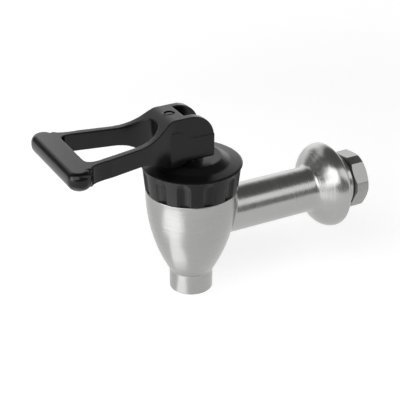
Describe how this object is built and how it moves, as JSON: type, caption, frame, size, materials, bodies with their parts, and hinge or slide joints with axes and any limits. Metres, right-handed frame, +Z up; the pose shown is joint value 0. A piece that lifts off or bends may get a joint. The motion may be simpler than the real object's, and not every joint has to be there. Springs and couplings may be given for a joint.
{
  "type": "boiler tap",
  "caption": "Boiler tap: a steel cup with a down spout on a wall shank, a fluted bonnet, and a looped cam handle that lifts a sprung stem and opens the seat when pressed.",
  "frame": {"origin": "centre of the collar's wall face, on the shank's axis", "axes": "+Y along the shank towards the thread's end and into the boiler's wall, the cup and handle at -Y, +Z up, +X to the side"},
  "size_m": [0.0382, 0.1239, 0.0704],
  "materials": {
    "body_steel": "stainless steel, turned and finely brushed round its axes",
    "turned_steel": "bright turned stainless steel",
    "spring_wire": "drawn stainless wire",
    "black_plastic": "black moulded plastic with a fine satin grain",
    "silicone": "milky translucent silicone",
    "black_rubber": "black moulded rubber"
  },
  "bodies": {
    "body": {"tap_body": "body_steel", "bonnet": "black_plastic", "seat_cup": "silicone", "spring": "spring_wire", "spacer_washer": "turned_steel", "sealing_ring": "black_rubber", "hex_nut": "turned_steel"},
    "stem": {"stem": "turned_steel", "spring_washer": "turned_steel"},
    "handle": {"handle": "black_plastic", "handle_pin": "turned_steel"}
  },
  "joints": [
    {"name": "stem_lift", "type": "slide", "parent": "body", "child": "stem", "axis": [0, 0, 1], "range_m": [0, 0.00356], "deforming": ["spring", "seat_cup"]},
    {"name": "handle_press", "type": "hinge", "parent": "stem", "child": "handle", "pos_m": [0, -0.0603, 0.03185], "axis": [1, 0, 0], "range_deg": [0, 20], "stiffness_Nm_per_rad": 0.3, "springref_deg": -6.88}
  ],
  "couplings": [
    {"joint": "handle_press", "follows": "stem_lift", "rad_per_m": 98.04}
  ]
}
